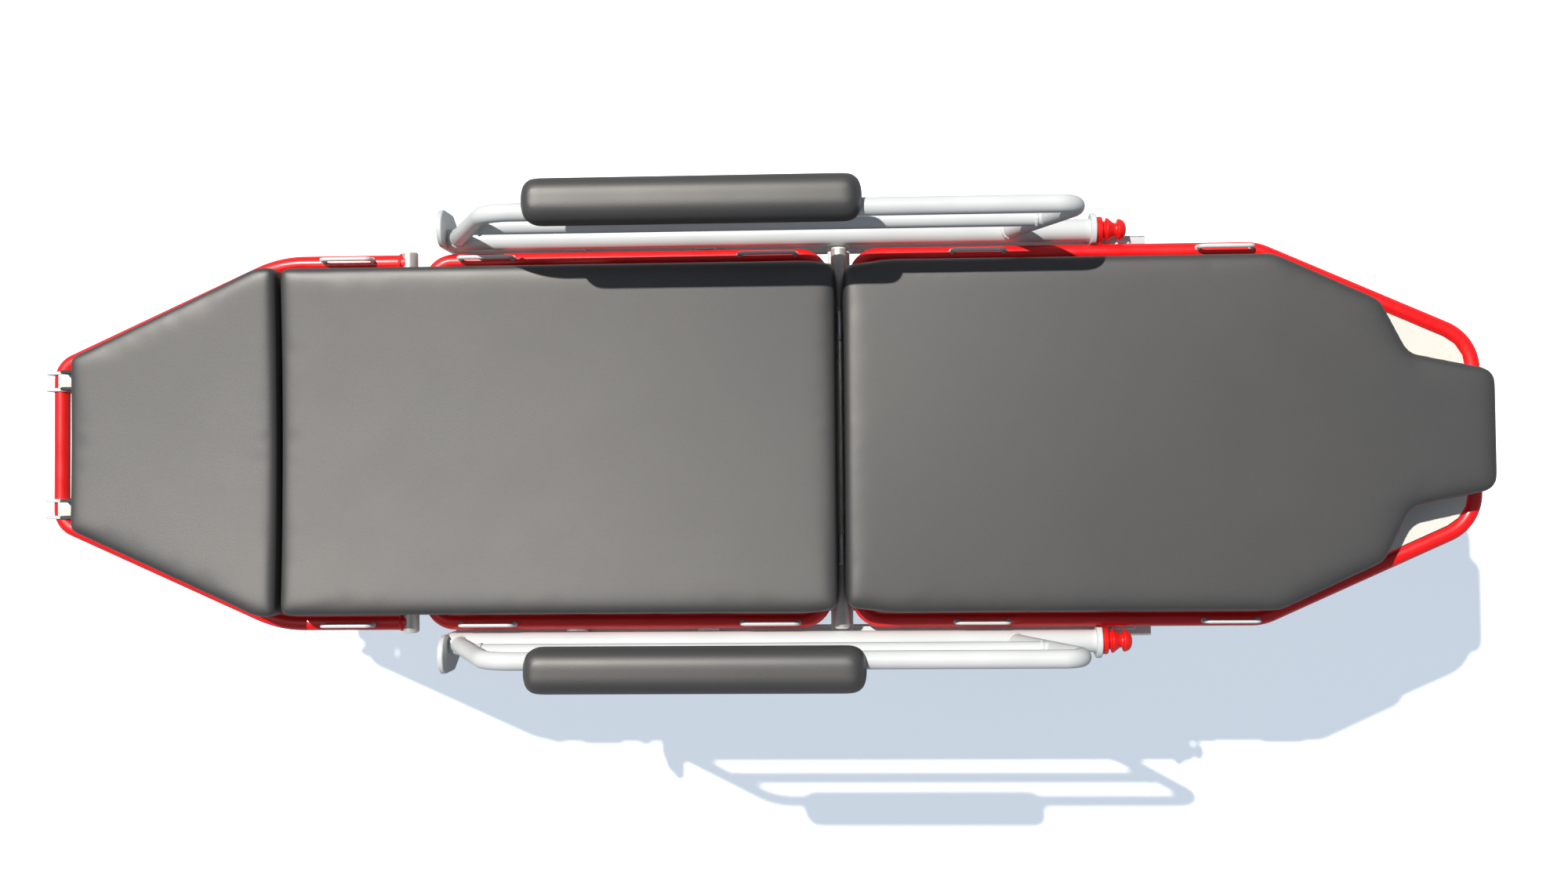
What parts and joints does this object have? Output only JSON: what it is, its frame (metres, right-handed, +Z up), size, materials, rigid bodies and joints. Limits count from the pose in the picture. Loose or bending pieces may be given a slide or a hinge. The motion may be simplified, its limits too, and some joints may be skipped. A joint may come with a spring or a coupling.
{
  "type": "folding ambulance stretcher",
  "caption": "Wheeled ambulance stretcher with a red tubular mattress frame, grey vinyl cushions, fold-down side rails and a scissor undercarriage.",
  "frame": {"origin": "On the floor under the centre of the stretcher's outline", "axes": "+X towards the foot end, +Y towards the patient's left side, +Z up"},
  "size_m": [1.9399, 0.6284, 0.8685],
  "materials": {
    "red_paint": "gloss red enamel on steel tube",
    "white_paint": "satin white enamel on steel",
    "bare_metal": "plain unpainted tube, slightly warm",
    "zinc": "zinc-plated steel",
    "deck_sheet": "pale cream sheet",
    "cushion_vinyl": "dark grey coated vinyl, satin",
    "red_plastic": "moulded red plastic",
    "tyre_rubber": "solid black rubber tyre on a grey hub"
  },
  "bodies": {
    "base": {"base_head_tube": "white_paint", "base_foot_tube": "white_paint", "left_base_rail": "white_paint", "right_base_rail": "white_paint"},
    "caster_head_left": {"caster_fork_head_left": "zinc"},
    "wheel_head_left": {"caster_wheel_head_left": "tyre_rubber"},
    "caster_head_right": {"caster_fork_head_right": "zinc"},
    "wheel_head_right": {"caster_wheel_head_right": "tyre_rubber"},
    "caster_foot_left": {"caster_fork_foot_left": "zinc"},
    "wheel_foot_left": {"caster_wheel_foot_left": "tyre_rubber"},
    "caster_foot_right": {"caster_fork_foot_right": "zinc"},
    "wheel_foot_right": {"caster_wheel_foot_right": "tyre_rubber"},
    "pedal_foot_left": {"brake_pedal_foot_left": "red_plastic"},
    "pedal_foot_right": {"brake_pedal_foot_right": "red_plastic"},
    "outer_legs": {"outer_leg_frame": "white_paint", "leg_pivot_shaft": "zinc"},
    "inner_legs": {"inner_leg_frame": "white_paint"},
    "chassis": {"left_chassis_rail": "white_paint", "right_chassis_rail": "white_paint", "rack_frame": "zinc", "hinge_cross_member": "white_paint", "foot_cross_member": "white_paint", "hinge_cross_tube": "bare_metal", "leg_frame": "red_paint", "leg_panel": "deck_sheet", "leg_pad": "cushion_vinyl", "leg_pad_edge": "cushion_vinyl", "left_rail_end_plate": "white_paint", "right_rail_end_plate": "white_paint", "left_rail_flange": "white_paint", "right_rail_flange": "white_paint", "left_strap_loop_leg_upper": "white_paint", "left_strap_loop_leg_lower": "white_paint", "right_strap_loop_leg_upper": "white_paint", "right_strap_loop_leg_lower": "white_paint"},
    "back_section": {"head_frame": "red_paint", "back_frame": "red_paint", "head_cross_tube": "bare_metal", "head_panel": "deck_sheet", "back_panel": "deck_sheet", "head_pad": "cushion_vinyl", "back_pad": "cushion_vinyl", "left_loading_fork": "zinc", "right_loading_fork": "zinc", "left_strap_loop_back_upper": "white_paint", "left_strap_loop_back_lower": "white_paint", "left_strap_loop_head": "white_paint", "right_strap_loop_back_upper": "white_paint", "right_strap_loop_back_lower": "white_paint", "right_strap_loop_head": "white_paint"},
    "prop": {"back_prop": "zinc"},
    "handle": {"release_handle": "zinc"},
    "left_rail": {"left_side_rail": "white_paint", "left_armrest": "cushion_vinyl"},
    "left_knob": {"left_rail_knob": "red_plastic"},
    "left_loader_wheel": {"left_loading_wheel": "tyre_rubber"},
    "right_rail": {"right_side_rail": "white_paint", "right_armrest": "cushion_vinyl"},
    "right_knob": {"right_rail_knob": "red_plastic"},
    "right_loader_wheel": {"right_loading_wheel": "tyre_rubber"}
  },
  "joints": [
    {"name": "swivel_head_left", "type": "hinge", "parent": "base", "child": "caster_head_left", "pos_m": [-0.48, 0.235, 0.16], "axis": [0, 0, 1], "continuous": true},
    {"name": "roll_head_left", "type": "hinge", "parent": "caster_head_left", "child": "wheel_head_left", "pos_m": [-0.515, 0.235, 0.0625], "axis": [0, 1, 0], "continuous": true},
    {"name": "swivel_head_right", "type": "hinge", "parent": "base", "child": "caster_head_right", "pos_m": [-0.48, -0.235, 0.16], "axis": [0, 0, 1], "continuous": true},
    {"name": "roll_head_right", "type": "hinge", "parent": "caster_head_right", "child": "wheel_head_right", "pos_m": [-0.515, -0.235, 0.0625], "axis": [0, 1, 0], "continuous": true},
    {"name": "swivel_foot_left", "type": "hinge", "parent": "base", "child": "caster_foot_left", "pos_m": [0.48, 0.235, 0.16], "axis": [0, 0, 1], "continuous": true},
    {"name": "roll_foot_left", "type": "hinge", "parent": "caster_foot_left", "child": "wheel_foot_left", "pos_m": [0.445, 0.235, 0.0625], "axis": [0, 1, 0], "continuous": true},
    {"name": "swivel_foot_right", "type": "hinge", "parent": "base", "child": "caster_foot_right", "pos_m": [0.48, -0.235, 0.16], "axis": [0, 0, 1], "continuous": true},
    {"name": "roll_foot_right", "type": "hinge", "parent": "caster_foot_right", "child": "wheel_foot_right", "pos_m": [0.445, -0.235, 0.0625], "axis": [0, 1, 0], "continuous": true},
    {"name": "brake_foot_left", "type": "hinge", "parent": "caster_foot_left", "child": "pedal_foot_left", "pos_m": [0.429, 0.235, 0.143], "axis": [0, -1, 0], "range_deg": [0, 12]},
    {"name": "brake_foot_right", "type": "hinge", "parent": "caster_foot_right", "child": "pedal_foot_right", "pos_m": [0.429, -0.235, 0.143], "axis": [0, -1, 0], "range_deg": [0, 12]},
    {"name": "legs_fold", "type": "hinge", "parent": "base", "child": "outer_legs", "pos_m": [0.4, 0, 0.168], "axis": [0, -1, 0], "range_deg": [0, 23.4]},
    {"name": "legs_cross", "type": "hinge", "parent": "outer_legs", "child": "inner_legs", "pos_m": [0.05864, 0, 0.3765], "axis": [0, -1, 0], "range_deg": [-46.8, 0]},
    {"name": "chassis_level", "type": "hinge", "parent": "inner_legs", "child": "chassis", "pos_m": [0.4, 0, 0.585], "axis": [0, -1, 0], "range_deg": [0, 23.4]},
    {"name": "back_tilt", "type": "hinge", "parent": "chassis", "child": "back_section", "pos_m": [0.1215, 0, 0.626], "axis": [0, 1, 0], "range_deg": [0, 70], "deforming": ["leg_pad_edge"]},
    {"name": "prop_swing", "type": "hinge", "parent": "back_section", "child": "prop", "pos_m": [-0.1285, 0, 0.626], "axis": [0, 1, 0], "range_deg": [-140, 0]},
    {"name": "left_loader_roll", "type": "hinge", "parent": "back_section", "child": "left_loader_wheel", "pos_m": [-0.918, 0.0875, 0.576], "axis": [0, 1, 0], "continuous": true},
    {"name": "right_loader_roll", "type": "hinge", "parent": "back_section", "child": "right_loader_wheel", "pos_m": [-0.918, -0.0875, 0.576], "axis": [0, 1, 0], "continuous": true},
    {"name": "left_rail_fold", "type": "hinge", "parent": "chassis", "child": "left_rail", "pos_m": [0, 0.2753, 0.626], "axis": [-1, 0, 0], "range_deg": [0, 150]},
    {"name": "left_knob_pull", "type": "slide", "parent": "left_rail", "child": "left_knob", "axis": [1, 0, 0], "range_m": [0, 0.012], "stiffness_N_per_m": 600, "springref_m": -0.004},
    {"name": "right_rail_fold", "type": "hinge", "parent": "chassis", "child": "right_rail", "pos_m": [0, -0.2753, 0.626], "axis": [1, 0, 0], "range_deg": [0, 150]},
    {"name": "right_knob_pull", "type": "slide", "parent": "right_rail", "child": "right_knob", "axis": [1, 0, 0], "range_m": [0, 0.012], "stiffness_N_per_m": 600, "springref_m": -0.004},
    {"name": "handle_lift", "type": "hinge", "parent": "chassis", "child": "handle", "pos_m": [0.952, 0, 0.603], "axis": [0, 1, 0], "range_deg": [0, 20], "stiffness_Nm_per_rad": 0.6, "springref_deg": -20.05}
  ],
  "couplings": [
    {"joint": "legs_cross", "follows": "legs_fold", "ratio": -2},
    {"joint": "chassis_level", "follows": "legs_fold", "ratio": 1},
    {"joint": "prop_swing", "follows": "back_tilt", "ratio": -2}
  ]
}
